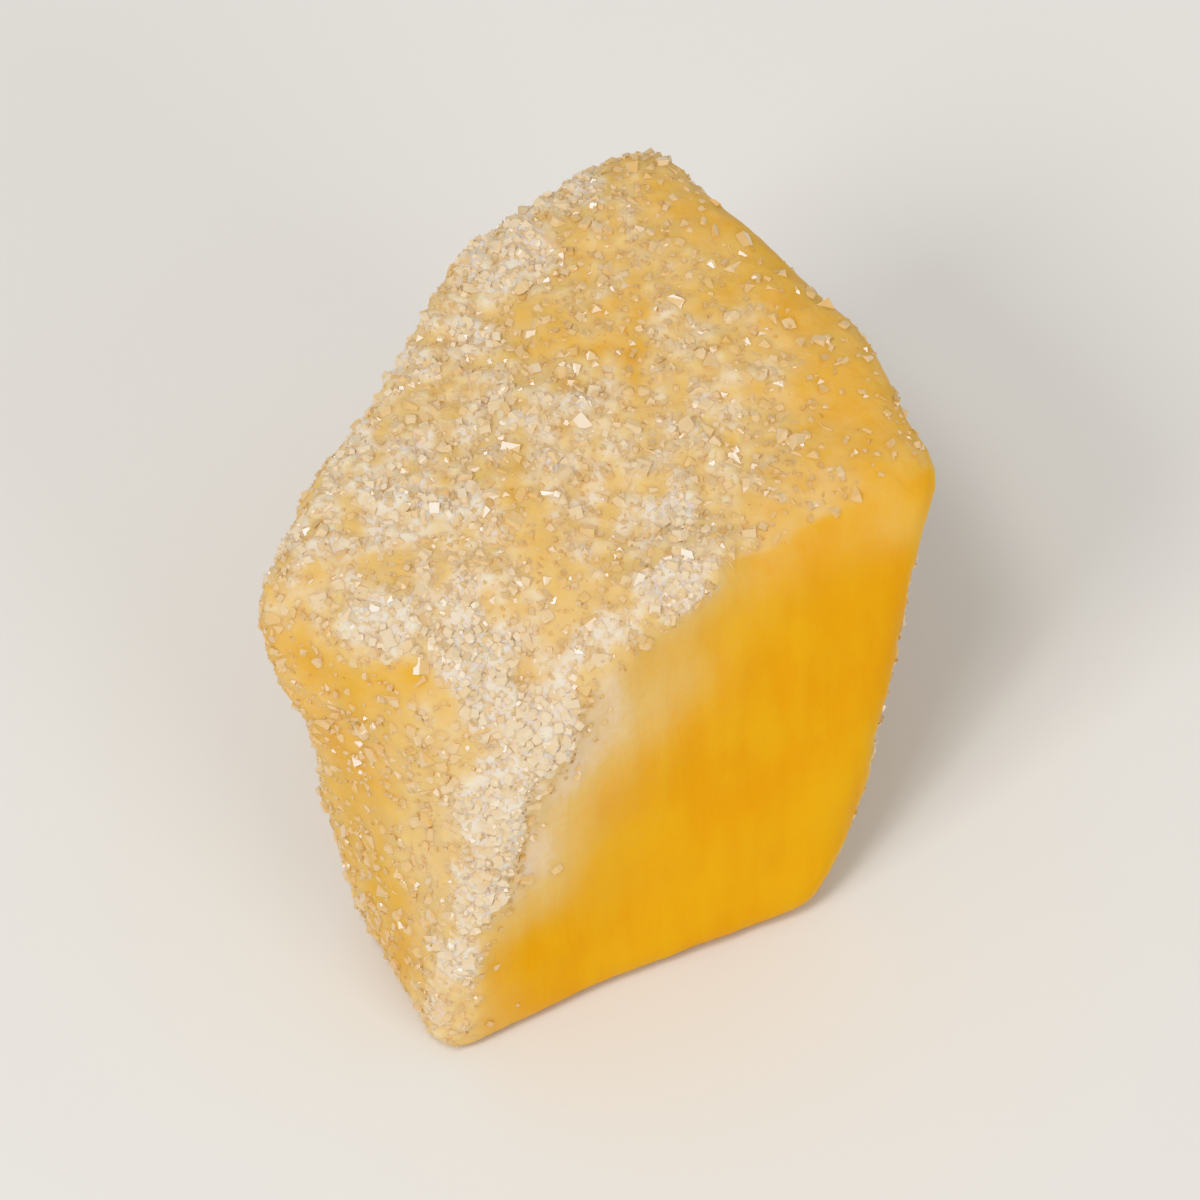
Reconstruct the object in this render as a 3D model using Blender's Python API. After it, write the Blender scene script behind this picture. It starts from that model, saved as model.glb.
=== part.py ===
"""Candied pineapple chunk: one knife-cut block of fruit with a crust of sugar on it.

The block is a box grid with rounded edges, warped until its corners stand where the knife left them.
Fine relief then follows: slow waves, the cut fruit's fibres and the lumps of the sugar crust.
The chunk rests on its flat bottom cut. +Z is up, and the origin is the centre of the base.
Sizes are in millimetres until the last step, which scales the mesh to metres.
"""

import math

import bmesh
import bpy
from mathutils import Vector, noise

MM = 0.001

# ---- The block's cuts -------------------------------------------------------------------------
# Plan positions (x, y) of the upright edges, measured from near the front edge.
# The top outline is wider than the bottom one, because the side cuts lean in under the block.
HEIGHT = 10.6
TOP_CORNERS = {
    "near": (0.1, 1.2),
    "right": (8.6, 6.4),
    "back": (2.65, 15.25),
    "left": (-5.25, 3.7),
}
BOTTOM_CORNERS = {
    "near": (-1.6, -0.65),
    "right": (6.25, 3.0),
    "back": (2.3, 13.5),
    "left": (-3.0, 3.4),
}
# A kink is an extra upright edge part of the way along a side: (share of the way, push outwards).
TOP_KINKS = {"front": (0.45, -0.5), "right": (0.4, 0.65), "rear": (0.36, 1.5), "left": (0.5, 0.1)}
BOTTOM_KINKS = {"front": (0.4, -0.3), "right": (0.35, 0.7), "rear": (0.35, 1.2), "left": (0.5, 0.2)}
SIDE_BULGE = 0.15  # the sides stand this much further out at half their height

NEAR_DROOP = 1.6  # how far the top face sags at the near corner
NEAR_DROOP_REACH = 1.8  # how far from the corner the sag is felt
GULLY_DEPTH = 0.35  # the hollow that runs down the top face to the near corner
GULLY_FROM, GULLY_TO = (0.3, 1.8), (1.7, 5.4)
GULLY_WIDTH = 1.0
TOP_CROWN = 0.25  # the top face stands this much higher in its middle

EDGE_RADIUS = 0.9
RELAX_PASSES = 3  # smoothing passes that even the grid out after the warp
GRID_CUTS = 27  # cuts across each side of the box, which set the number of facets
BASE_SINK = 0.12  # shaved off the bottom, which leaves the flat face it rests on

# ---- Relief -----------------------------------------------------------------------------------
WAVE_DEPTH, WAVE_LENGTH = 0.22, 4.5  # the slow unevenness of fruit that has dried
FIBRE_DEPTH, FIBRE_PITCH, FIBRE_LENGTH = 0.12, 0.85, 7.0  # upright ridges along the fibres
CRUST_DEPTH, CRUST_LENGTH = 0.13, 1.15  # lumps of the sugar crust
CRUST_SHIFT = Vector((0, 7, 3))  # keeps the crust's pattern apart from the waves'
BASE_FADE = 0.9  # relief fades out over this height above the base

WAXY_SIDE = Vector((0.53, -0.85))  # the way the smooth cut side faces, with hardly any sugar on it
WAXY_FROM, WAXY_FULL = 0.6, 0.9  # how squarely a face has to look that way to count as smooth
WAXY_RELIEF = 0.35  # the share of the relief that the smooth side keeps

# Lumps of sugar that stand out on the block: place, radius and height.
LUMPS = {
    "left_nose": (Vector((-5.5, 3.3, 9.2)), 1.0, 0.65),
    "left_nose_low": (Vector((-5.0, 3.2, 7.9)), 1.0, 0.35),
    "mid_ridge": (Vector((3.5, 3.9, 10.4)), 0.9, 0.30),
}


def clamped(value, low=0.0, high=1.0):
    """The value, held between low and high."""
    return max(low, min(high, value))


def bell(distance, reach):
    """1 at no distance, falling smoothly to almost 0 at twice the reach."""
    return math.exp(-((distance / reach) ** 2))


def side_point(start, end, kink, share):
    """A plan point part of the way along a side that bends outwards at its kink."""
    kink_at, push = kink
    run = (end - start).normalized()
    outwards = Vector((run.y, -run.x))
    rise = share / kink_at if share < kink_at else (1 - share) / (1 - kink_at)
    return start.lerp(end, share) + outwards * (push * rise)


def plan_point(corners, kinks, s, t):
    """The plan point at share s (near to right) and t (near to left) between the four sides."""
    near, right, back, left = (Vector(corners[name]) for name in ("near", "right", "back", "left"))
    front = side_point(near, right, kinks["front"], s)
    rear = side_point(back, left, kinks["rear"], 1 - s)
    right_side = side_point(right, back, kinks["right"], t)
    left_side = side_point(left, near, kinks["left"], 1 - t)
    between_corners = near.lerp(right, s).lerp(left.lerp(back, s), t)
    return front.lerp(rear, t) + left_side.lerp(right_side, s) - between_corners


def rounded(point, radius):
    """A point of the box from -1 to 1, moved onto the same box with rounded edges."""
    core = Vector(clamped(c, r - 1, 1 - r) for c, r in zip(point, radius))
    offset = Vector((c - k) / r for c, k, r in zip(point, core, radius))
    offset.normalize()
    return Vector(k + o * r for k, o, r in zip(core, offset, radius))


def bottom_middle():
    """The plan point in the middle of the bottom outline's corners."""
    return sum((Vector(corner) for corner in BOTTOM_CORNERS.values()), Vector((0, 0))) / 4


def gully_distance(plan):
    """How far a plan point is from the line along the bottom of the gully."""
    start, end = Vector(GULLY_FROM), Vector(GULLY_TO)
    run = end - start
    share = clamped((plan - start).dot(run) / run.dot(run))
    return (plan - start.lerp(end, share)).length


def hump(share):
    """1 half of the way, and 0 at both ends."""
    return 4 * share * (1 - share)


def warped(point):
    """A point of the rounded box from -1 to 1, carried to its place in the block."""
    s, t, height = ((c + 1) / 2 for c in point)
    bottom = plan_point(BOTTOM_CORNERS, BOTTOM_KINKS, s, t)
    top = plan_point(TOP_CORNERS, TOP_KINKS, s, t)
    plan = bottom.lerp(top, height)
    plan += (plan - bottom_middle()).normalized() * (SIDE_BULGE * hump(height))
    near_distance = (plan - Vector(TOP_CORNERS["near"])).length
    droop = NEAR_DROOP * bell(near_distance, NEAR_DROOP_REACH)
    gully = GULLY_DEPTH * bell(gully_distance(plan), GULLY_WIDTH)
    crown = TOP_CROWN * hump(s) * hump(t)
    return Vector((plan.x, plan.y, height * (HEIGHT - droop - gully + crown)))


def lump_height(point):
    """How far the named sugar lumps raise the surface at a point."""
    return sum(
        height * bell((point - place).length, radius) for place, radius, height in LUMPS.values()
    )


def relief(point, normal):
    """How far the surface stands out at a point: slow waves, fibres, crust and lumps."""
    waves = WAVE_DEPTH * noise.noise(point / WAVE_LENGTH)
    strand = Vector((point.x / FIBRE_PITCH, point.y / FIBRE_PITCH, point.z / FIBRE_LENGTH))
    uprightness = math.sqrt(1 - abs(normal.z))
    fibres = FIBRE_DEPTH * uprightness * noise.noise(strand)
    crust = CRUST_DEPTH * noise.noise(point / CRUST_LENGTH + CRUST_SHIFT)
    waxy = clamped((normal.xy.dot(WAXY_SIDE) - WAXY_FROM) / (WAXY_FULL - WAXY_FROM))
    kept = 1 - (1 - WAXY_RELIEF) * waxy
    fade = clamped(point.z / BASE_FADE)
    return fade * kept * (waves + fibres + crust + lump_height(point))


def box_grid(bm):
    """A box from -1 to 1 whose sides are even grids."""
    bmesh.ops.create_cube(bm, size=2)
    bmesh.ops.subdivide_edges(bm, edges=bm.edges[:], cuts=GRID_CUTS, use_grid_fill=True)


def cut_to_shape(bm):
    """Rounds the box over, carries it to the block's corners and evens the grid out."""
    half_side = sum(Vector(TOP_CORNERS[name]).length for name in ("right", "left")) / 4
    radius = (EDGE_RADIUS / half_side, EDGE_RADIUS / half_side, EDGE_RADIUS / (HEIGHT / 2))
    for vertex in bm.verts:
        vertex.co = warped(rounded(vertex.co, radius))
    for _ in range(RELAX_PASSES):
        bmesh.ops.smooth_vert(
            bm, verts=bm.verts[:], factor=0.5, use_axis_x=True, use_axis_y=True, use_axis_z=True
        )


def raise_relief(bm):
    """Moves each point out along its normal by the relief there."""
    bm.normal_update()
    places = [vertex.co + vertex.normal * relief(vertex.co, vertex.normal) for vertex in bm.verts]
    for vertex, place in zip(bm.verts, places):
        vertex.co = place


def flatten_base(bm):
    """Shaves the bottom flat, then sets the chunk on z = 0 with its middle over the origin."""
    for vertex in bm.verts:
        vertex.co.z = max(0.0, vertex.co.z - BASE_SINK)
    across = [vertex.co.x for vertex in bm.verts]
    along = [vertex.co.y for vertex in bm.verts]
    middle = Vector((min(across) + max(across), min(along) + max(along), 0)) / 2
    bmesh.ops.translate(bm, verts=bm.verts, vec=-middle)


def fruit_material():
    """Golden candied fruit under a thin frost of sugar."""
    material = bpy.data.materials.new("candied_fruit")
    material.use_nodes = True
    shader = material.node_tree.nodes["Principled BSDF"]
    shader.inputs["Base Color"].default_value = (0.78, 0.47, 0.14, 1)
    shader.inputs["Roughness"].default_value = 0.55
    shader.inputs["Metallic"].default_value = 0.0
    return material


def pineapple_chunk(collection):
    """The whole chunk as one closed mesh."""
    bm = bmesh.new()
    box_grid(bm)
    cut_to_shape(bm)
    raise_relief(bm)
    flatten_base(bm)
    bmesh.ops.scale(bm, vec=(MM, MM, MM), verts=bm.verts)
    bmesh.ops.recalc_face_normals(bm, faces=bm.faces[:])
    mesh = bpy.data.meshes.new("pineapple_chunk")
    bm.to_mesh(mesh)
    bm.free()
    mesh.shade_smooth()
    mesh.materials.append(fruit_material())
    collection.objects.link(bpy.data.objects.new("pineapple_chunk", mesh))


def main():
    """Clears the scene and builds the chunk in its own collection."""
    for old in list(bpy.data.objects):
        bpy.data.objects.remove(old)
    collection = bpy.data.collections.new("candied_pineapple_chunk")
    bpy.context.scene.collection.children.link(collection)
    pineapple_chunk(collection)


main()
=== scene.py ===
"""The looks of a candied pineapple chunk: translucent golden fruit under a crust of sugar.

The fruit is a fine copy of the solid, with crisper ridges and the crust's grain raised on it.
The sugar on it is real geometry: crystals, grit and white drifts, scattered by one map of the
surface, which also whitens the fruit under them. Lengths are in millimetres, and MM turns them
into metres. Colours are in linear light.
"""

import logging
import math
from collections.abc import Iterator, Mapping
from dataclasses import dataclass, field
from enum import Enum

import bpy
import numpy as np
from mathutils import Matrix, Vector, kdtree, noise


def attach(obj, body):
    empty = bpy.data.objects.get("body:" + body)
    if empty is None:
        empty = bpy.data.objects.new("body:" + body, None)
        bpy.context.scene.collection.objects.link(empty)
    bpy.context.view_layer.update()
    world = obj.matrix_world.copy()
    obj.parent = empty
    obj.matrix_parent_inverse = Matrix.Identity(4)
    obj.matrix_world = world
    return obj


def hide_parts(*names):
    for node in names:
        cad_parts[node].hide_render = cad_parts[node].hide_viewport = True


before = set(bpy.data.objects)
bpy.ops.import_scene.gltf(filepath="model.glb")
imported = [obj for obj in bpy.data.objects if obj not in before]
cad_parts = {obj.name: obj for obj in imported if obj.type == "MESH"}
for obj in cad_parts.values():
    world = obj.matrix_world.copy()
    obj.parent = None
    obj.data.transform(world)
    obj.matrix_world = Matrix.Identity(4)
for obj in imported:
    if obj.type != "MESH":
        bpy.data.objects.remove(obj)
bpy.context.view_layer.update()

MM = 0.001
SOLID = "pineapple_chunk"

Point = tuple[float, float, float]
Colour = tuple[float, float, float]
Pair = tuple[float, float]

log = logging.getLogger("candied_pineapple")


# ---- Shader tools ------------------------------------------------------------------------------


class Value:
    """A number in a shader, on which Python's operators add Math nodes."""

    def __init__(self, shader: "Shader", socket: bpy.types.NodeSocket) -> None:
        """Wraps the output socket that carries the number.

        Args:
            shader: the shader that the number belongs to.
            socket: the output socket.
        """
        self.shader = shader
        self.socket = socket

    def __add__(self, other: "Value | float") -> "Value":
        """This number plus another."""
        return self.shader.calculate("ADD", self, other)

    def __sub__(self, other: "Value | float") -> "Value":
        """This number minus another."""
        return self.shader.calculate("SUBTRACT", self, other)

    def __rsub__(self, other: float) -> "Value":
        """A plain number minus this one."""
        return self.shader.calculate("SUBTRACT", other, self)

    def __mul__(self, other: "Value | float") -> "Value":
        """This number times another."""
        return self.shader.calculate("MULTIPLY", self, other)

    __radd__ = __add__
    __rmul__ = __mul__

    def held(self) -> "Value":
        """This number held between 0 and 1."""
        return self.shader.calculate("ADD", self, 0.0, clamp=True)

    def between(self, low: float, high: float) -> "Value":
        """How far this number has come from low to high, with soft ends.

        Args:
            low: the number that gives 0.
            high: the number that gives 1.

        Returns:
            The share, held between 0 and 1.
        """
        node = self.shader.node(
            "ShaderNodeMapRange",
            {"interpolation_type": "SMOOTHSTEP"},
            {"Value": self, "From Min": low, "From Max": high},
        )
        return Value(self.shader, node.outputs["Result"])


class Shader:
    """A new material and the nodes that it is made of."""

    def __init__(self, name: str) -> None:
        """Starts a material that has only its Principled shader.

        Args:
            name: the material's name.
        """
        self.material = bpy.data.materials.new(name)
        self.material.use_nodes = True
        self.tree = self.material.node_tree
        self.principled = self.tree.nodes["Principled BSDF"]

    def connect(self, socket: bpy.types.NodeSocket, value: object) -> None:
        """Links a value to an input socket, or sets it there.

        Args:
            socket: the input socket.
            value: a Value, an output socket, or a plain number, colour or vector.
        """
        if isinstance(value, Value):
            value = value.socket
        if isinstance(value, bpy.types.NodeSocket):
            self.tree.links.new(value, socket)
        elif socket.type == "RGBA":
            socket.default_value = (*value, 1.0)
        else:
            socket.default_value = value

    def node(
        self,
        kind: str,
        settings: Mapping[str, object] | None = None,
        sockets: Mapping[str, object] | None = None,
    ) -> bpy.types.Node:
        """Adds a node.

        Args:
            kind: the node's type.
            settings: the node's own settings, which are set first.
            sockets: the values or links of its input sockets, by name.

        Returns:
            The node.
        """
        node = self.tree.nodes.new(kind)
        for name, setting in (settings or {}).items():
            setattr(node, name, setting)
        for name, value in (sockets or {}).items():
            socket = next(s for s in node.inputs if s.enabled and s.name == name)
            self.connect(socket, value)
        return node

    def calculate(
        self, operation: str, first: Value | float, second: Value | float, clamp: bool = False
    ) -> Value:
        """Adds a Math node.

        Args:
            operation: the Math node's operation.
            first: its first number.
            second: its second number.
            clamp: whether the result is held between 0 and 1.

        Returns:
            The node's result.
        """
        node = self.node("ShaderNodeMath", {"operation": operation, "use_clamp": clamp})
        self.connect(node.inputs[0], first)
        self.connect(node.inputs[1], second)
        return Value(self, node.outputs[0])

    def mix(self, share: Value, first: object, second: object) -> bpy.types.NodeSocket:
        """Mixes two colours.

        Args:
            share: how much of the second colour, from 0 to 1.
            first: the first colour or its socket.
            second: the second colour or its socket.

        Returns:
            The mixed colour's socket.
        """
        node = self.node(
            "ShaderNodeMix", {"data_type": "RGBA"}, {"Factor": share, "A": first, "B": second}
        )
        return next(s for s in node.outputs if s.enabled)

    def stored(self, name: str) -> Value:
        """The number that the mesh stores at each point under a name."""
        node = self.node("ShaderNodeAttribute", {"attribute_name": name})
        return Value(self, node.outputs["Fac"])

    def cloud(self, size: Point | float, detail: float = 2.0) -> Value:
        """Smooth noise whose blobs have a size in millimetres.

        Args:
            size: the blobs' size, or their sizes along X, Y and Z.
            detail: how many finer layers it has.

        Returns:
            The noise, from 0 to 1.
        """
        sizes = size if isinstance(size, tuple) else (size, size, size)
        place = self.node("ShaderNodeTexCoord").outputs["Object"]
        mapping = self.node(
            "ShaderNodeMapping",
            {"vector_type": "POINT"},
            {"Vector": place, "Scale": tuple(1.0 / (length * MM) for length in sizes)},
        )
        texture = self.node(
            "ShaderNodeTexNoise",
            {},
            {"Vector": mapping.outputs["Vector"], "Scale": 1.0, "Detail": detail},
        )
        return Value(self, texture.outputs["Fac"])

    def finish(self, values: Mapping[str, object]) -> None:
        """Sets or links the Principled shader's sockets, by name."""
        for name, value in values.items():
            self.connect(self.principled.inputs[name], value)

    def bump(self, height: Value, depth: float) -> None:
        """Adds relief too fine for the mesh.

        Args:
            height: the height, from 0 to 1.
            depth: what a height of 1 is, in millimetres.
        """
        node = self.node("ShaderNodeBump", {}, {"Height": height, "Distance": depth * MM})
        self.finish({"Normal": node.outputs["Normal"]})


# ---- Finishes ----------------------------------------------------------------------------------


@dataclass(frozen=True)
class FruitFinish:
    """Candied fruit: deep gold where it is bare, paled near its ridges by a syrup film and a painted
    sheen, and creamy under sugar.

    Attributes:
        deep: bare fruit at its deepest.
        gold: bare fruit where it is cloudier.
        milky_sheen: bare fruit near the ridges, paled partly by a film of syrup and partly by a
            painted sheen.
        film_sheen: the palest of that, where the film and the painted sheen are strongest.
        cream: fruit under thin sugar.
        white: the peaks of thick sugar.
        gold_range: where gold starts and is full in the fruit's own pattern.
        milky_sheen_range: where milky_sheen starts and is full in the veil of syrup and painted
            sheen.
        film_sheen_range: where film_sheen starts and is full in that veil.
        cream_range: where cream starts and is full in the dusting of sugar.
        white_range: where white starts and is full in that dusting.
        relief_whitening: what a millimetre of relief adds to the dusting of the peaks.
        waxy_roughness: the gloss of bare fruit.
        sugared_roughness: the gloss of dry sugar.
        dry_frost: the sugar from which the fruit has the gloss of dry sugar.
        index: its index of refraction.
        shine: how strongly its surface reflects, where 0.5 is plain.
        glow_share: how much of the light goes into the fruit before it comes back.
        glow_depth: how far red light travels inside it, in millimetres.
        glow_reach: how far each colour travels, as a share of that.
        blotch_size: the size of the blotches in the gold.
        strand_size: the size of the fibres along X, Y and Z.
        grain_size: the size of the finest mottling.
        fine_relief: the depth of relief that is too fine for the mesh.
        strand_height: how high the fibres stand in it.
        bare_grain: how high the mottling stands in it on bare fruit, where 1 is under sugar.
    """

    deep: Colour = (0.76, 0.338, 0.0)
    gold: Colour = (0.79, 0.415, 0.008)
    milky_sheen: Colour = (0.77, 0.520, 0.180)
    film_sheen: Colour = (0.81, 0.650, 0.480)
    cream: Colour = (0.80, 0.555, 0.240)
    white: Colour = (0.89, 0.770, 0.600)
    gold_range: Pair = (0.35, 0.65)
    milky_sheen_range: Pair = (-0.1, 0.75)
    film_sheen_range: Pair = (0.55, 1.15)
    cream_range: Pair = (0.02, 0.65)
    white_range: Pair = (0.50, 1.15)
    relief_whitening: float = 2.5
    waxy_roughness: float = 0.40
    sugared_roughness: float = 0.45
    dry_frost: float = 0.5
    index: float = 1.47
    shine: float = 0.12
    glow_share: float = 0.5
    glow_depth: float = 0.5
    glow_reach: Colour = (1.0, 0.72, 0.15)
    blotch_size: float = 2.6
    strand_size: Point = (0.5, 0.5, 3.2)
    grain_size: float = 0.16
    fine_relief: float = 0.03
    strand_height: float = 1.6
    bare_grain: float = 0.25

    def material(self) -> bpy.types.Material:
        """The fruit's material, which reads the mesh's frost, its haze with painted sheen, and its
        relief.
        """
        shader = Shader("candied_fruit")
        frost = shader.stored("frost")
        haze_and_sheen = shader.stored("haze_and_sheen")
        relief = shader.stored("relief")
        blotches = shader.cloud(self.blotch_size)
        strands = shader.cloud(self.strand_size, detail=3.0)
        grain = shader.cloud(self.grain_size)
        broad, fine, middle = 0.6, 0.4, 0.5
        golden = (blotches * broad + strands * fine).between(*self.gold_range)
        bare = shader.mix(golden, self.deep, self.gold)
        # The veil pales the fruit near its ridges: partly a film of syrup, partly a painted sheen
        # where light would gleam on them.
        veil_and_sheen = haze_and_sheen + ((strands - middle) * broad + (grain - middle) * fine) * haze_and_sheen
        milky_sheened = shader.mix(veil_and_sheen.between(*self.milky_sheen_range), bare, self.milky_sheen)
        film_sheened = shader.mix(veil_and_sheen.between(*self.film_sheen_range), milky_sheened, self.film_sheen)
        unevenness = 0.5
        dusting = frost + (grain - middle) * unevenness * frost
        sugared = shader.mix(dusting.between(*self.cream_range), film_sheened, self.cream)
        peaks = (dusting + relief * self.relief_whitening).between(*self.white_range)
        dryness = frost.between(0.0, self.dry_frost)
        grain_height = self.bare_grain + frost * (1.0 - self.bare_grain)
        shader.finish(
            {
                "Base Color": shader.mix(peaks, sugared, self.white),
                "Roughness": self.waxy_roughness
                + dryness * (self.sugared_roughness - self.waxy_roughness),
                "IOR": self.index,
                "Specular IOR Level": self.shine,
                "Subsurface Weight": self.glow_share,
                "Subsurface Radius": self.glow_reach,
                "Subsurface Scale": self.glow_depth * MM,
            }
        )
        shader.bump(strands * self.strand_height + grain * grain_height, self.fine_relief)
        return shader.material


@dataclass(frozen=True)
class SugarFinish:
    """Sugar grains: the fruit's gold comes through them, and their facets glint.

    Attributes:
        name: the material's name.
        warm: the colour of the clearest grains.
        white: the colour of the whitest grains.
        clearness: how much light passes through a grain.
        roughness: the gloss of the clearest grains' facets.
        dulling: how much rougher those of the whitest grains are.
        index: the grains' index of refraction.
        sparkle: how strong the glints are.
        glint_index: the index of refraction that makes the glints.
        glint_roughness: how sharp they are.
        cloud_size: the size of the clouds in the grains.
        cloudiness: how much whiter or warmer the clouds are.
    """

    name: str
    warm: Colour = (0.82, 0.53, 0.19)
    white: Colour = (0.88, 0.73, 0.51)
    clearness: float = 0.10
    roughness: float = 0.08
    dulling: float = 0.25
    index: float = 1.54
    sparkle: float = 1.0
    glint_index: float = 1.8
    glint_roughness: float = 0.07
    cloud_size: float = 0.12
    cloudiness: float = 0.5

    def material(self) -> bpy.types.Material:
        """The grains' material, which reads each grain's own tone."""
        shader = Shader(self.name)
        tone = shader.stored("tone")
        cloud = shader.cloud(self.cloud_size, detail=1.0)
        whiteness = (tone + (cloud - 0.5) * self.cloudiness).held()
        shader.finish(
            {
                "Base Color": shader.mix(whiteness, self.warm, self.white),
                "Roughness": self.roughness + tone * self.dulling,
                "IOR": self.index,
                "Transmission Weight": self.clearness,
                "Coat Weight": self.sparkle,
                "Coat IOR": self.glint_index,
                "Coat Roughness": self.glint_roughness,
            }
        )
        return shader.material


@dataclass(frozen=True)
class TableFinish:
    """A plain, pale, matt table."""

    colour: Colour = (0.78, 0.77, 0.75)
    roughness: float = 0.9

    def material(self) -> bpy.types.Material:
        """The table's material."""
        shader = Shader("pale_table")
        shader.finish({"Base Color": self.colour, "Roughness": self.roughness})
        return shader.material


# ---- The chunk's landmarks ---------------------------------------------------------------------

NOSE = (-1.1, -5.4, 8.5)
FRONT_RIDGE = (NOSE, (-1.8, -6.25, 6.5), (-2.25, -6.7, 5.0), (-2.7, -7.05, 3.2), (-2.8, -7.3, 0.8))
LEFT_RIDGE = (NOSE, (-2.1, -4.9, 9.3), (-3.0, -4.5, 9.9), (-4.1, -4.3, 10.2), (-6.3, -3.4, 9.9))
RIGHT_RIDGE = (NOSE, (-0.25, -4.65, 9.4), (0.5, -4.1, 10.0), (2.1, -3.1, 10.3), (5.8, -1.5, 9.6))
LEFT_RIM = ((-6.3, -3.4, 9.9), (-5.2, -1.0, 10.5), (-3.0, 3.9, 10.3), (0.3, 6.7, 10.3))
RIGHT_RIM = ((5.9, -1.2, 10.1), (5.0, 1.6, 10.5), (3.6, 3.7, 10.5), (2.0, 5.7, 10.4))
TONGUE = ((-0.7, -4.3, 9.6), (-0.7, -3.5, 10.1), (-1.0, -2.4, 10.4), (-1.7, -1.3, 10.5))
CHEEK = ((-2.5, -4.8, 9.5), (-2.2, -5.5, 8.2), (-2.2, -6.1, 6.6))
FLANK = ((-4.7, -4.8, 4.6), (-3.9, -5.5, 3.2), (-3.5, -5.9, 2.2))
HOLLOW = ((-2.0, 2.4, 10.5), (-0.9, 2.2, 10.6), (0.4, 2.0, 10.7))

TOP_CUT = (0.0, 0.0, 1.0)
LEFT_CUT = (-0.55, -0.82, 0.12)
WAXY_CUT = (0.48, -0.867, 0.13)
REAR_LEFT_CUT = (-0.83, 0.54, -0.13)
REAR_RIGHT_CUT = (0.83, 0.51, -0.24)
BOTTOM_CUT = (0.0, 0.0, -1.0)

# The ways from the front and right ridges over the waxy cut.
ACROSS_WAXY = (0.87, 0.48, 0.0)
DOWN_WAXY = (0.19, -0.05, -0.98)


@dataclass(frozen=True)
class Seam:
    """A line on the chunk that adds to a field, or takes from it where its amount is negative.

    Attributes:
        points: the line's points.
        reach: how far to each side of the line it is felt.
        amount: what it adds on the line itself.
        roundness: 2 for a rounded rise across the line, and 1 for one that comes to an edge.
        stop: the way from the line, as a unit vector, in which it soon ends.
        lip: how far it reaches in that way: it is whole up to half of this, and halved at all of it.
    """

    points: tuple[Point, ...]
    reach: float
    amount: float
    roundness: float = 2.0
    stop: Point | None = None
    lip: float = 0.30

    def added(self, places: np.ndarray) -> np.ndarray:
        """What the seam adds at each place, one place a row."""
        nearest = np.full(len(places), np.inf)
        beyond = np.zeros(len(places))
        for start, end in zip(self.points, self.points[1:]):
            run = np.subtract(end, start)
            share = np.clip((places - start) @ run / (run @ run), 0.0, 1.0)
            gap = places - start - share[:, None] * run
            distance = np.linalg.norm(gap, axis=1)
            closer = distance < nearest
            nearest[closer] = distance[closer]
            if self.stop is not None:
                beyond[closer] = gap[closer] @ self.stop
        felt = self.amount * np.exp(-((nearest / self.reach) ** self.roundness))
        lips_to_the_end = 1.5
        return felt * np.clip(lips_to_the_end - beyond / self.lip, 0.0, 1.0)


@dataclass(frozen=True)
class Patch:
    """A round spot on the chunk that adds to a field, or takes from it.

    Attributes:
        middle: the spot's middle.
        reach: how far from there it is felt.
        amount: what it adds in the middle.
    """

    middle: Point
    reach: float
    amount: float

    def added(self, places: np.ndarray) -> np.ndarray:
        """What the patch adds at each place, one place a row."""
        distance = np.linalg.norm(places - np.array(self.middle), axis=1)
        return self.amount * np.exp(-((distance / self.reach) ** 2))


@dataclass(frozen=True)
class Mottle:
    """Uneven blotches that thicken and thin a field.

    Attributes:
        size: the blotches' size, or their sizes along X, Y and Z.
        share: how strongly they change the field.
    """

    size: Point | float
    share: float

    def factor(self, places: np.ndarray) -> np.ndarray:
        """What the field is multiplied by at each place, one place a row."""
        rows = (places / np.array(self.size)).tolist()
        return 1.0 + self.share * np.array([2.0 * noise.noise(Vector(row)) for row in rows])


@dataclass(frozen=True)
class SurfaceField:
    """Something that varies over the chunk's surface, such as how thickly sugar covers it.

    Attributes:
        marks: the seams and patches, on top of the cuts.
        cuts: each cut's amount, by the way that the cut faces.
        mottles: the blotches that thicken and thin all of it.
        most: the largest amount.
    """

    marks: tuple[Seam | Patch, ...]
    cuts: Mapping[Point, float] = field(default_factory=dict)
    mottles: tuple[Mottle, ...] = ()
    most: float = 1.0

    def amount(self, places: np.ndarray, facings: np.ndarray) -> np.ndarray:
        """The field at each place.

        Args:
            places: one point a row, in millimetres.
            facings: the surface's unit normal at each.

        Returns:
            One number a place, from 0 to the most.
        """
        sharpness = 12
        almost_nothing = 1e-9
        total = np.zeros(len(places))
        weights = np.full(len(places), almost_nothing)
        for facing, amount in self.cuts.items():
            direction = np.array(facing) / np.linalg.norm(facing)
            weight = np.clip(facings @ direction, 0.0, 1.0) ** sharpness
            total += weight * amount
            weights += weight
        here = total / weights
        for mark in self.marks:
            here += mark.added(places)
        for mottle in self.mottles:
            here *= mottle.factor(places)
        return np.clip(here, 0.0, self.most)


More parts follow.
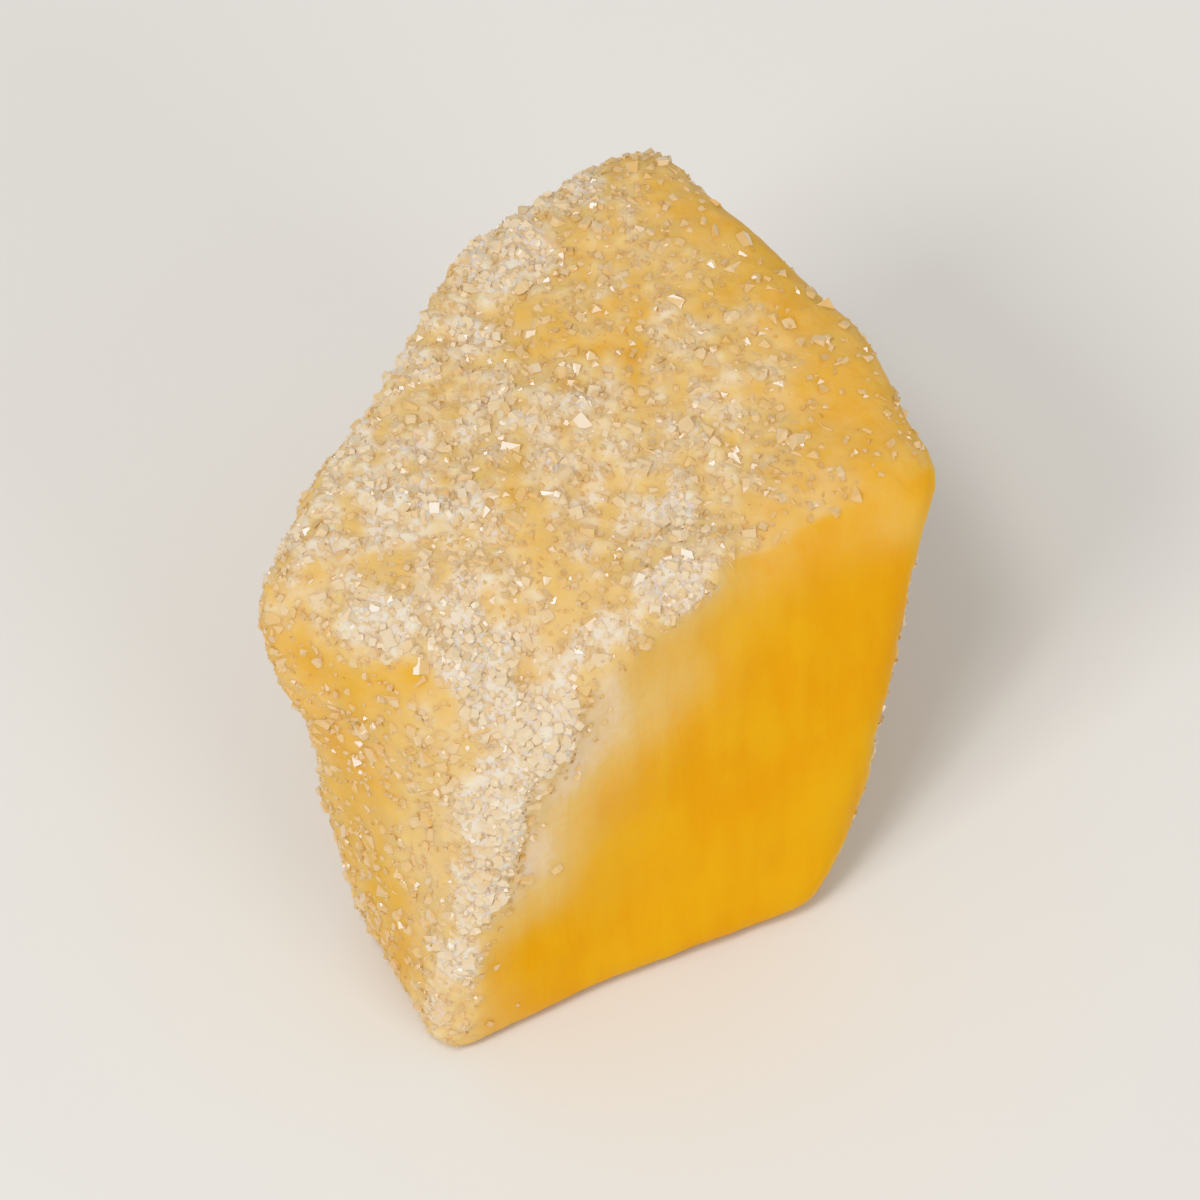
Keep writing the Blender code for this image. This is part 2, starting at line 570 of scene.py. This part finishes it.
SUGAR = SurfaceField(
    cuts={
        TOP_CUT: 0.64,
        LEFT_CUT: 0.35,
        WAXY_CUT: 0.04,
        REAR_LEFT_CUT: 0.60,
        REAR_RIGHT_CUT: 0.45,
        BOTTOM_CUT: 0.0,
    },
    marks=(
        Seam(FRONT_RIDGE[:3], 0.60, 0.85, stop=ACROSS_WAXY, lip=0.65),
        Seam(FRONT_RIDGE[2:4], 0.40, 0.55, stop=ACROSS_WAXY, lip=0.60),
        Seam(FRONT_RIDGE[3:], 0.40, 0.55, stop=ACROSS_WAXY, lip=0.50),
        Seam(FRONT_RIDGE, 1.30, 0.14),
        Seam(LEFT_RIDGE[1:4], 0.70, 0.50),
        Seam(LEFT_RIDGE[3:], 0.60, 0.12),
        Seam(LEFT_RIDGE[:2], 0.80, 0.40, stop=ACROSS_WAXY, lip=0.8),
        Seam(RIGHT_RIDGE[:4], 0.45, 0.70, stop=DOWN_WAXY, lip=0.45),
        Seam(RIGHT_RIDGE[:4], 0.90, 0.15),
        Seam(CHEEK, 0.70, 0.55, stop=ACROSS_WAXY, lip=0.8),
        # Sugar along the left rim: its grains are real, and the whiter rim that it gives is a
        # painted highlight of the lit edge.
        Seam(LEFT_RIM, 0.35, 0.25),
        Seam(TONGUE, 0.45, -0.30),
        Seam(FLANK, 1.20, -0.08),
        Seam(HOLLOW, 0.65, -0.28),
        Seam(RIGHT_RIM, 1.10, -0.40),
        Seam(RIGHT_RIDGE[3:], 1.10, -0.40),
        Patch((1.5, 4.0, 10.6), 3.0, -0.06),
        Patch((-3.0, -2.0, 10.6), 2.5, 0.12),
        Patch((-1.8, 0.3, 10.6), 0.8, 0.45),
        Patch((-3.5, -1.8, 10.6), 0.9, 0.35),
        Patch((-1.7, 4.3, 10.6), 0.8, 0.60),
        Patch((-2.3, 2.5, 10.5), 0.6, 0.50),
        Patch((1.7, 0.5, 10.6), 0.9, 0.22),
        Patch((1.7, -2.9, 10.4), 0.7, 0.40),
        Patch((1.3, -1.8, 10.5), 0.8, 0.35),
        Patch((3.9, 0.3, 10.6), 1.3, -0.25),
        Patch((-3.2, -3.5, 10.3), 0.7, 0.25),
        Patch((-1.8, -4.3, 9.8), 0.7, 0.45),
        Patch((-1.7, -5.1, 9.3), 0.5, 0.30),
        Patch((-4.4, -3.9, 10.0), 0.8, -0.12),
        # A bare, deeper gold spot on the left face that stands for painted shade.
        Patch((-3.4, -4.9, 9.7), 0.45, -0.20),
    ),
    mottles=(Mottle(1.3, 0.25), Mottle((0.45, 0.45, 2.2), 0.30)),
    most=1.2,
)

# The haze field: paler fruit near the ridges and rims, partly a film of syrup and partly a painted
# sheen where light would gleam on them.
HAZE_AND_SHEEN = SurfaceField(
    cuts={TOP_CUT: 0.15, LEFT_CUT: 0.15, WAXY_CUT: 0.0, REAR_RIGHT_CUT: 0.10},
    marks=(
        Seam(FRONT_RIDGE[:3], 2.2, 0.85, roundness=1.6),
        Seam(FRONT_RIDGE, 1.5, 0.45, roundness=1.5),
        Seam(RIGHT_RIDGE[:4], 1.0, 0.50, roundness=1.5),
        Seam(RIGHT_RIDGE[3:], 0.9, 0.20, roundness=1.5),
        Seam(RIGHT_RIM, 0.9, 0.22),
        Patch((1.4, -4.2, 8.3), 1.6, 0.20),
        Patch((-1.6, -6.5, 2.5), 1.2, -0.35),
        Patch((-3.4, -6.0, 3.4), 1.5, -0.40),
        Patch((-4.0, -4.6, 7.5), 1.8, -0.25),
    ),
    mottles=(Mottle(1.6, 0.25),),
)

CREST = SurfaceField(
    marks=(
        Seam(FRONT_RIDGE[:4], 0.60, 0.7, roundness=1.5),
        Seam(RIGHT_RIDGE[:4], 0.45, 0.9, roundness=1.2),
        Seam(LEFT_RIDGE, 0.50, 0.4),
    ),
)


# ---- Mesh tools --------------------------------------------------------------------------------


def select_only(piece: bpy.types.Object) -> None:
    """Deselects everything else, and makes this piece the active one."""
    for other in bpy.context.selected_objects:
        other.select_set(False)
    bpy.context.view_layer.objects.active = piece
    piece.select_set(True)


def apply_modifier(piece: bpy.types.Object, kind: str, settings: Mapping[str, object]) -> None:
    """Adds a modifier to a piece and applies it at once.

    Args:
        piece: the piece.
        kind: the modifier's type.
        settings: the modifier's settings, by name.
    """
    select_only(piece)
    modifier = piece.modifiers.new(kind.lower(), kind)
    for name, setting in settings.items():
        setattr(modifier, name, setting)
    bpy.ops.object.modifier_apply(modifier=modifier.name)


def points_of(mesh: bpy.types.Mesh) -> np.ndarray:
    """A mesh's points, one a row, in millimetres."""
    flat = np.empty(len(mesh.vertices) * 3, np.float32)
    mesh.vertices.foreach_get("co", flat)
    return flat.reshape(-1, 3).astype(float) / MM


def facings_of(mesh: bpy.types.Mesh) -> np.ndarray:
    """The unit normals at a mesh's points, one a row."""
    flat = np.empty(len(mesh.vertices) * 3, np.float32)
    mesh.vertex_normals.foreach_get("vector", flat)
    return flat.reshape(-1, 3).astype(float)


def store(mesh: bpy.types.Mesh, name: str, values: np.ndarray) -> None:
    """Stores one number for each point of a mesh, which a material can read.

    Args:
        mesh: the mesh.
        name: the attribute's name.
        values: one number a point.
    """
    attribute = mesh.attributes.new(name, "FLOAT", "POINT")
    attribute.data.foreach_set("value", values.astype(np.float32))


def weigh(piece: bpy.types.Object, name: str, weights: np.ndarray) -> None:
    """Adds a vertex group to a piece.

    Args:
        piece: the piece.
        name: the group's name.
        weights: one weight a point.
    """
    group = piece.vertex_groups.new(name=name)
    for index in np.flatnonzero(weights > 0.0).tolist():
        group.add([index], float(weights[index]), "REPLACE")


def complete(piece: bpy.types.Object, material: bpy.types.Material) -> None:
    """Gives a finished piece its material, and makes it part of the object.

    Args:
        piece: the piece.
        material: the only material that it then has.
    """
    piece.data.materials.clear()
    piece.data.materials.append(material)
    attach(piece, "root")


# ---- The fruit ---------------------------------------------------------------------------------


@dataclass(frozen=True)
class ReliefLayer:
    """One layer of relief: a texture that moves the fruit's points in and out.

    Attributes:
        group: the vertex group that says where it is.
        depth: the difference between its lowest and highest point.
        kind: the texture's type, or None to move all points out alike.
        size: the size of the texture's cells or blobs.
    """

    group: str
    depth: float
    kind: str | None = None
    size: float = 1.0

    def press(self, piece: bpy.types.Object) -> None:
        """Moves the piece's points by this layer."""
        settings = {
            "texture_coords": "LOCAL",
            "direction": "NORMAL",
            "strength": self.depth * MM,
            "mid_level": 0.0,
            "vertex_group": self.group,
        }
        if self.kind:
            texture = bpy.data.textures.new(self.group, self.kind)
            texture.noise_scale = self.size * MM
            settings |= {"texture": texture, "mid_level": 0.5}
        apply_modifier(piece, "DISPLACE", settings)


@dataclass
class Fruit:
    """The fruit itself, which stands for the solid.

    Attributes:
        finish: its material.
        cell: the spacing of the even grid that the copy is rebuilt on, before it is halved.
        smoothing: how many passes smooth the solid's facets away.
        base_band: the relief fades out over this height above the base.
        base_flat: points lower than this are set down on the base.
        layers: the relief, in the order that it is pressed in: the crest, and then the grain.
    """

    finish: FruitFinish = field(default_factory=FruitFinish)
    cell: float = 0.18
    smoothing: int = 5
    base_band: float = 0.5
    base_flat: float = 0.03
    layers: tuple[ReliefLayer, ...] = (
        ReliefLayer("crest", depth=0.32),
        ReliefLayer("crust", depth=0.22, kind="CLOUDS", size=0.75),
        ReliefLayer("crust", depth=-0.22, kind="VORONOI", size=0.42),
        ReliefLayer("bare", depth=0.06, kind="CLOUDS", size=1.1),
    )

    def build(self) -> bpy.types.Object:
        """Makes the fruit with its relief, its stored fields and its material.

        Returns:
            The finished piece.
        """
        fruit = self.fine_copy()
        mesh = fruit.data
        smooth = points_of(mesh)
        facings = facings_of(mesh)
        frost = SUGAR.amount(smooth, facings)
        lift = np.clip(smooth[:, 2] / self.base_band, 0.0, 1.0)
        weigh(fruit, "crest", CREST.amount(smooth, facings) * lift)
        weigh(fruit, "crust", np.clip(frost, 0.0, 1.0) * lift)
        weigh(fruit, "bare", np.clip(1.0 - frost, 0.0, 1.0) * lift)
        crest, *grain = self.layers
        crest.press(fruit)
        crested = points_of(mesh)
        for layer in grain:
            layer.press(fruit)
        raised = np.einsum("ij,ij->i", points_of(mesh) - crested, facings)
        self.set_down(mesh)
        store(mesh, "frost", frost)
        # The haze field is stored for the fruit's colour: partly a syrup film, partly a painted
        # sheen.
        store(mesh, "haze_and_sheen", HAZE_AND_SHEEN.amount(smooth, facings))
        store(mesh, "relief", raised)
        fruit.vertex_groups.clear()
        select_only(fruit)
        bpy.ops.object.shade_smooth()
        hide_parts(SOLID)
        complete(fruit, self.finish.material())
        log.info("%s: %d faces", fruit.name, len(mesh.polygons))
        return fruit

    def fine_copy(self) -> bpy.types.Object:
        """A copy of the solid on a fine, even grid, with its facets smoothed away."""
        fruit = bpy.data.objects.new("fruit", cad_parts[SOLID].data.copy())
        bpy.context.scene.collection.objects.link(fruit)
        select_only(fruit)
        bpy.ops.object.mode_set(mode="EDIT")
        bpy.ops.mesh.select_all(action="SELECT")
        no_distance = 0.001
        bpy.ops.mesh.remove_doubles(threshold=no_distance * MM)
        bpy.ops.object.mode_set(mode="OBJECT")
        apply_modifier(fruit, "REMESH", {"mode": "VOXEL", "voxel_size": self.cell * MM})
        apply_modifier(fruit, "SMOOTH", {"factor": 0.5, "iterations": self.smoothing})
        apply_modifier(fruit, "SUBSURF", {"levels": 1, "render_levels": 1})
        return fruit

    def set_down(self, mesh: bpy.types.Mesh) -> None:
        """Sets the lowest points flat on z = 0, where the chunk rests."""
        places = points_of(mesh)
        places[places[:, 2] < self.base_flat, 2] = 0.0
        mesh.vertices.foreach_set("co", (places * MM).astype(np.float32).ravel())
        mesh.update()


# ---- The sugar ---------------------------------------------------------------------------------


class GrainForm(Enum):
    """The shapes that a grain of sugar starts from."""

    BLOCK = "a box with uneven corners"
    PRISM = "a box with two opposite edges cut off"
    WORN = "a box whose edges have all worn off"
    SHARD = "an uneven four-sided chip"


@dataclass
class GrainModel:
    """One grain about 1 millimetre across, to be copied.

    Attributes:
        form: the shape that it starts from.
        variant: which of the uneven versions of that shape it is, from 0.
        box_side: the side of a box.
        chip_radius: how far a chip's corners are from its middle.
        chip_height: the height of a chip.
        wear: how much of a worn grain's edges is gone, and how much more for each variant.
        cut: the same for a prism's two cut edges.
        unevenness: how far its corners are moved at random.
    """

    form: GrainForm
    variant: int
    box_side: float = 0.85
    chip_radius: float = 0.55
    chip_height: float = 0.6
    wear: Pair = (0.13, 0.04)
    cut: Pair = (0.22, 0.06)
    unevenness: float = 0.07

    def build(self) -> tuple[np.ndarray, np.ndarray, np.ndarray]:
        """Models the grain, reads its mesh and removes it.

        Returns:
            Its points in millimetres, the corners of its faces in one list, and each face's size.
        """
        if self.form is GrainForm.SHARD:
            bpy.ops.mesh.primitive_cone_add(
                vertices=4, radius1=self.chip_radius * MM, radius2=0.0, depth=self.chip_height * MM
            )
        else:
            bpy.ops.mesh.primitive_cube_add(size=self.box_side * MM)
        grain = bpy.context.object
        select_only(grain)
        if self.form is GrainForm.PRISM:
            self.cut_two_edges(grain)
        bpy.ops.object.mode_set(mode="EDIT")
        bpy.ops.mesh.select_all(action="SELECT")
        if self.form is GrainForm.WORN:
            self.bevel(self.wear)
            bpy.ops.mesh.select_all(action="SELECT")
        bpy.ops.transform.vertex_random(offset=self.unevenness * MM, seed=self.variant + 1)
        bpy.ops.mesh.normals_make_consistent(inside=False)
        bpy.ops.object.mode_set(mode="OBJECT")
        mesh = grain.data
        points = points_of(mesh)
        corners = np.empty(len(mesh.loops), np.int32)
        mesh.loops.foreach_get("vertex_index", corners)
        sizes = np.empty(len(mesh.polygons), np.int32)
        mesh.polygons.foreach_get("loop_total", sizes)
        bpy.data.objects.remove(grain)
        bpy.data.meshes.remove(mesh)
        return points, corners, sizes

    def cut_two_edges(self, grain: bpy.types.Object) -> None:
        """Bevels two opposite upright edges of the box."""
        mesh = grain.data
        for edge in mesh.edges:
            start, end = (mesh.vertices[index].co for index in edge.vertices)
            middle = (start + end) / 2
            is_upright = abs(start.z - end.z) > self.box_side / 2 * MM
            edge.select = is_upright and middle.x * middle.y > 0.0
        for part in (*mesh.vertices, *mesh.polygons):
            part.select = False
        bpy.ops.object.mode_set(mode="EDIT")
        bpy.ops.mesh.select_mode(type="EDGE")
        self.bevel(self.cut)
        bpy.ops.mesh.select_mode(type="VERT")
        bpy.ops.object.mode_set(mode="OBJECT")

    def bevel(self, offset: Pair) -> None:
        """Bevels what is selected, by the first number and the second for each variant."""
        first, step = offset
        bpy.ops.mesh.bevel(offset=(first + step * self.variant) * MM, segments=1)


@dataclass
class Grains:
    """Sugar grains of one kind, scattered over the fruit as one mesh.

    Attributes:
        name: the piece's name.
        finish: the grains' material.
        forms: the shapes that the grains are copies of.
        smallest: the least length of a grain.
        largest: the greatest length of a grain.
        density: grains tried for each square millimetre under full sugar.
        spacing: the least distance between two grains' middles.
        least_frost: the sugar below which there are none.
        crowding: above 1, the grains keep to the thickest sugar.
        rise: the range of a grain's height above the surface, as a share of its length.
        whiteness: what is added to every grain's tone.
        seed: starts the random draw.
        variants: how many uneven versions of each shape there are.
    """

    name: str
    finish: SugarFinish
    forms: tuple[GrainForm, ...]
    smallest: float
    largest: float
    density: float
    spacing: float
    least_frost: float
    crowding: float
    rise: Pair
    whiteness: float
    seed: int
    variants: int = 3

    def build(self, fruit: bpy.types.Object) -> bpy.types.Object:
        """Scatters the grains over the fruit.

        Args:
            fruit: the finished fruit.

        Returns:
            The finished piece.
        """
        draw = np.random.default_rng(self.seed)
        middles, facings, frost = self.spots(fruit.data, draw)
        whiter_by_frost, bare_tone, spread = 0.8, -0.15, 0.25
        tones = frost * whiter_by_frost + bare_tone + draw.uniform(-spread, spread, len(middles))
        tones += self.whiteness
        models = [GrainModel(form, v).build() for form in self.forms for v in range(self.variants)]
        kinds = draw.integers(len(models), size=len(middles))
        points, corners, sizes, point_tones = [], [], [], []
        first = 0
        for kind, (shape, shape_corners, shape_sizes) in enumerate(models):
            chosen = kinds == kind
            count = int(chosen.sum())
            points.append(self.placed(shape, middles[chosen], facings[chosen], draw).reshape(-1, 3))
            point_tones.append(np.repeat(tones[chosen], len(shape)))
            offsets = first + np.arange(count) * len(shape)
            corners.append((offsets[:, None] + shape_corners).ravel())
            sizes.append(np.tile(shape_sizes, count))
            first += count * len(shape)
        mesh = joined_mesh(self.name, *(np.concatenate(p) for p in (points, corners, sizes)))
        store(mesh, "tone", np.clip(np.concatenate(point_tones), 0.0, 1.0))
        piece = bpy.data.objects.new(self.name, mesh)
        bpy.context.scene.collection.objects.link(piece)
        complete(piece, self.finish.material())
        log.info("%s: %d grains, %d faces", self.name, len(middles), len(mesh.polygons))
        return piece

    def spots(
        self, mesh: bpy.types.Mesh, draw: np.random.Generator
    ) -> tuple[np.ndarray, np.ndarray, np.ndarray]:
        """Draws the grains' places.

        Args:
            mesh: the fruit's mesh.
            draw: the random draw.

        Returns:
            The places, the surface's normals there and the sugar there, one a row.
        """
        clear_of_base = 0.1
        mesh.calc_loop_triangles()
        indices = np.empty(len(mesh.loop_triangles) * 3, np.int32)
        mesh.loop_triangles.foreach_get("vertices", indices)
        indices = indices.reshape(-1, 3)
        triangles = points_of(mesh)[indices]
        across = np.cross(triangles[:, 1] - triangles[:, 0], triangles[:, 2] - triangles[:, 0])
        doubled_areas = np.linalg.norm(across, axis=1)
        stored = np.empty(len(mesh.vertices), np.float32)
        mesh.attributes["frost"].data.foreach_get("value", stored)
        frost = stored[indices].mean(axis=1)
        wanted = np.clip(frost - self.least_frost, 0.0, 1.0) ** self.crowding
        wanted *= doubled_areas / 2 * self.density * (triangles[:, :, 2].min(axis=1) > clear_of_base)
        picked = draw.choice(len(wanted), size=int(wanted.sum()), p=wanted / wanted.sum())
        shares = draw.dirichlet((1.0, 1.0, 1.0), size=len(picked))
        places = np.einsum("ij,ijk->ik", shares, triangles[picked])
        kept = spread_out(places, self.spacing)
        picked = picked[kept]
        return places[kept], across[picked] / doubled_areas[picked, None], frost[picked]

    def placed(
        self, shape: np.ndarray, middles: np.ndarray, facings: np.ndarray, draw: np.random.Generator
    ) -> np.ndarray:
        """Turns, sizes and places a copy of a shape for each spot.

        Args:
            shape: the shape's points.
            middles: the spots.
            facings: the surface's normals there.
            draw: the random draw.

        Returns:
            The copies' points, by spot, point and axis.
        """
        count = len(middles)
        smaller_are_commoner, slimmest, above_table = 1.5, 0.6, 0.01
        spread = draw.uniform(0.0, 1.0, count) ** smaller_are_commoner
        length = self.smallest + (self.largest - self.smallest) * spread
        sides = draw.uniform(slimmest, 1.0, (count, 3)) * length[:, None]
        copies = (shape[None] * sides[:, None]) @ random_turns(draw, count)
        rise = draw.uniform(*self.rise, count) * length
        copies += (middles + facings * rise[:, None])[:, None]
        lowest = copies[:, :, 2].min(axis=1)
        copies[:, :, 2] += np.clip(above_table - lowest, 0.0, None)[:, None]
        return copies


def spread_out(places: np.ndarray, spacing: float) -> np.ndarray:
    """Thins places out until no two are closer than a spacing.

    Args:
        places: one point a row.
        spacing: the least distance.

    Returns:
        The indices of the places that are kept.
    """
    tree = kdtree.KDTree(len(places))
    for index, place in enumerate(places.tolist()):
        tree.insert(place, index)
    tree.balance()
    dropped = np.zeros(len(places), bool)
    for index, place in enumerate(places.tolist()):
        if not dropped[index]:
            for _, other, _ in tree.find_range(place, spacing):
                if other > index:
                    dropped[other] = True
    return np.flatnonzero(~dropped)


def random_turns(draw: np.random.Generator, count: int) -> np.ndarray:
    """Random rotation matrices, evenly spread over all turns.

    Args:
        draw: the random draw.
        count: how many.

    Returns:
        The matrices, by turn, row and column.
    """
    quaternions = draw.normal(size=(4, count))
    w, x, y, z = quaternions / np.linalg.norm(quaternions, axis=0)
    rows = (
        (1 - 2 * (y * y + z * z), 2 * (x * y - z * w), 2 * (x * z + y * w)),
        (2 * (x * y + z * w), 1 - 2 * (x * x + z * z), 2 * (y * z - x * w)),
        (2 * (x * z - y * w), 2 * (y * z + x * w), 1 - 2 * (x * x + y * y)),
    )
    return np.array(rows).transpose(2, 0, 1)


def joined_mesh(
    name: str, points: np.ndarray, corners: np.ndarray, sizes: np.ndarray
) -> bpy.types.Mesh:
    """Makes one mesh of many copies.

    Args:
        name: the mesh's name.
        points: its points in millimetres, one a row.
        corners: the corners of its faces, one face after another.
        sizes: how many corners each face has.

    Returns:
        The mesh.
    """
    mesh = bpy.data.meshes.new(name)
    mesh.vertices.add(len(points))
    mesh.vertices.foreach_set("co", (points * MM).astype(np.float32).ravel())
    mesh.loops.add(len(corners))
    mesh.loops.foreach_set("vertex_index", corners.astype(np.int32))
    mesh.polygons.add(len(sizes))
    mesh.polygons.foreach_set("loop_start", (np.cumsum(sizes) - sizes).astype(np.int32))
    mesh.update(calc_edges=True)
    mesh.validate()
    mesh.shade_flat()
    return mesh


def sugar_kinds() -> Iterator[Grains]:
    """The kinds of sugar on the fruit."""
    yield Grains(
        name="sugar_crystals",
        finish=SugarFinish("sugar_crystal"),
        forms=(GrainForm.WORN, GrainForm.PRISM),
        smallest=0.20,
        largest=0.48,
        density=60.0,
        spacing=0.20,
        least_frost=0.10,
        crowding=1.0,
        rise=(-0.42, -0.20),
        whiteness=0.0,
        seed=11,
    )
    yield Grains(
        name="sugar_grit",
        finish=SugarFinish("sugar_grit", clearness=0.25, roughness=0.3),
        forms=(GrainForm.BLOCK, GrainForm.SHARD),
        smallest=0.09,
        largest=0.20,
        density=90.0,
        spacing=0.08,
        least_frost=0.08,
        crowding=1.2,
        rise=(-0.35, 0.0),
        whiteness=0.0,
        seed=12,
    )
    yield Grains(
        name="sugar_drifts",
        finish=SugarFinish("sugar_drift", clearness=0.08, roughness=0.4),
        forms=(GrainForm.BLOCK, GrainForm.WORN),
        smallest=0.14,
        largest=0.30,
        density=90.0,
        spacing=0.13,
        least_frost=0.66,
        crowding=1.4,
        rise=(-0.3, 0.1),
        whiteness=0.35,
        seed=13,
    )


# ---- The studio --------------------------------------------------------------------------------


@dataclass(frozen=True)
class SoftLamp:
    """A large square lamp that faces the chunk.

    Attributes:
        name: the lamp's name.
        place: where it hangs.
        side: its side.
        brightness: what it alone would make of a white sheet at the chunk that faces it.
        colour: its colour.
    """

    name: str
    place: Point
    side: float
    brightness: float
    colour: Colour = (1.0, 0.985, 0.965)

    def hang(self) -> None:
        """Adds the lamp to the scene."""
        data = bpy.data.lights.new(self.name, "AREA")
        data.size = self.side * MM
        data.color = self.colour
        lamp = bpy.data.objects.new(self.name, data)
        lamp.location = Vector(self.place) * MM
        data.energy = self.brightness * (math.pi * lamp.location.length) ** 2
        lamp.rotation_euler = (-lamp.location).to_track_quat("-Z", "Y").to_euler()
        bpy.context.scene.collection.objects.link(lamp)


@dataclass
class Studio:
    """The pale table, the soft lights and the camera.

    Attributes:
        table: the table's finish.
        table_side: the table's side.
        elevation: the camera's angle above the horizon, in degrees.
        lens: its focal length: a long one, for the flat perspective of a close view.
        sensor: its sensor's width.
        clipped: how near and how far it sees.
        framed: the width of what it sees at the chunk.
        aim: the point that it looks at.
        lamps: the soft lights.
        room: the colour of the light from all around.
        room_brightness: how bright that is.
    """

    table: TableFinish = field(default_factory=TableFinish)
    table_side: float = 6000.0
    elevation: float = 55.0
    lens: float = 450.0
    sensor: float = 36.0
    clipped: Pair = (10.0, 20000.0)
    framed: float = 23.5
    aim: Point = (0.0, 0.0, 5.066)
    lamps: tuple[SoftLamp, ...] = (
        SoftLamp("window", (-170.0, -180.0, 260.0), side=120.0, brightness=0.32),
        SoftLamp("glint", (-60.0, -120.0, 320.0), 60.0, 0.21, colour=(1.0, 0.99, 0.975)),
        SoftLamp("front_fill", (210.0, -260.0, 150.0), side=160.0, brightness=0.22),
    )
    room: Colour = (1.0, 0.985, 0.96)
    room_brightness: float = 0.58

    def build(self) -> None:
        """Sets up all of it."""
        bpy.ops.mesh.primitive_plane_add(size=self.table_side * MM)
        table = bpy.context.object
        table.name = "pale_table"
        table.data.materials.append(self.table.material())
        self.set_camera()
        for lamp in self.lamps:
            lamp.hang()
        world = bpy.data.worlds.new("soft_room")
        world.use_nodes = True
        background = world.node_tree.nodes["Background"]
        background.inputs["Color"].default_value = (*self.room, 1.0)
        background.inputs["Strength"].default_value = self.room_brightness
        bpy.context.scene.world = world
        bpy.context.scene.view_settings.view_transform = "Khronos PBR Neutral"

    def set_camera(self) -> None:
        """Looks along +Y and down, as the photo does."""
        data = bpy.data.cameras.new("photo_camera")
        data.lens = self.lens
        data.sensor_width = self.sensor
        data.clip_start, data.clip_end = (distance * MM for distance in self.clipped)
        camera = bpy.data.objects.new("photo_camera", data)
        bpy.context.scene.collection.objects.link(camera)
        angle = math.radians(self.elevation)
        distance = self.framed * self.lens / self.sensor
        away = Vector((0.0, -math.cos(angle), math.sin(angle))) * distance
        camera.location = (Vector(self.aim) + away) * MM
        camera.rotation_euler = (math.pi / 2 - angle, 0.0, 0.0)
        bpy.context.scene.camera = camera


def main() -> None:
    """Builds the fruit, its sugar and the studio."""
    logging.basicConfig(level=logging.INFO, format="%(message)s", force=True)
    fruit = Fruit().build()
    for grains in sugar_kinds():
        grains.build(fruit)
    Studio().build()


if __name__ == "__main__":
    main()
